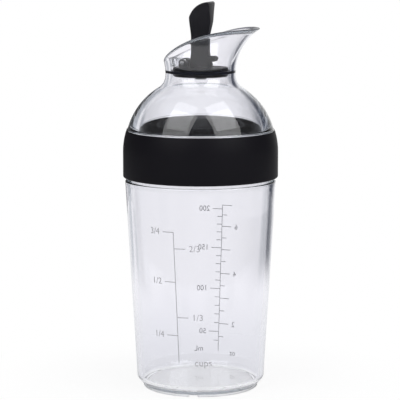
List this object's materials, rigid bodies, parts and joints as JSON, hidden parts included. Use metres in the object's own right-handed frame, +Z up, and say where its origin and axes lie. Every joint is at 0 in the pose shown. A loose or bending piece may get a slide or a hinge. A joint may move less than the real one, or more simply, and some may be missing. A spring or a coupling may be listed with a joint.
{
  "type": "salad dressing shaker bottle",
  "caption": "Clear measuring cup with a black screw collar, a clear dome with a flared pouring spout, and a flip stopper with a thumb lever.",
  "frame": {"origin": "on the bottle's axis at the bottom of the cup's foot ring", "axes": "+Z up along the bottle's axis; +X the way the spout pours; Y along the stopper's hinge pin"},
  "size_m": [0.0684, 0.0684, 0.1707],
  "materials": {
    "clear_plastic": "clear and glossy",
    "band_plastic": "soft satin",
    "lever_plastic": "satin",
    "seal": "smooth and soft",
    "steel": "polished",
    "ink": "printed ink"
  },
  "bodies": {
    "cup": {"cup": "clear_plastic", "cup_scale_print": "ink", "metric_scale_print": "ink"},
    "lid_seal": {"lid_gasket": "seal"},
    "lid": {"spout_dome": "clear_plastic", "collar_band": "band_plastic", "hinge_bracket": "clear_plastic", "hinge_pin": "steel"},
    "stopper": {"stopper_cap": "lever_plastic", "stopper_gasket": "seal", "stopper_retainer": "lever_plastic", "retainer_screw": "steel", "lever": "lever_plastic"}
  },
  "joints": [
    {"name": "lid_lift", "type": "slide", "parent": "cup", "child": "lid_seal", "axis": [0, 0, 1], "range_m": [0, 0.01201]},
    {"name": "lid_turn", "type": "hinge", "parent": "lid_seal", "child": "lid", "pos_m": [0, 0, 0.1], "axis": [0, 0, 1], "range_deg": [0, 540]},
    {"name": "stopper_flip", "type": "hinge", "parent": "lid", "child": "stopper", "pos_m": [-0.0068, 0, 0.14448], "axis": [0, -1, 0], "range_deg": [0, 85]}
  ],
  "couplings": [
    {"joint": "lid_lift", "follows": "lid_turn", "m_per_rad": 0.0012732}
  ]
}
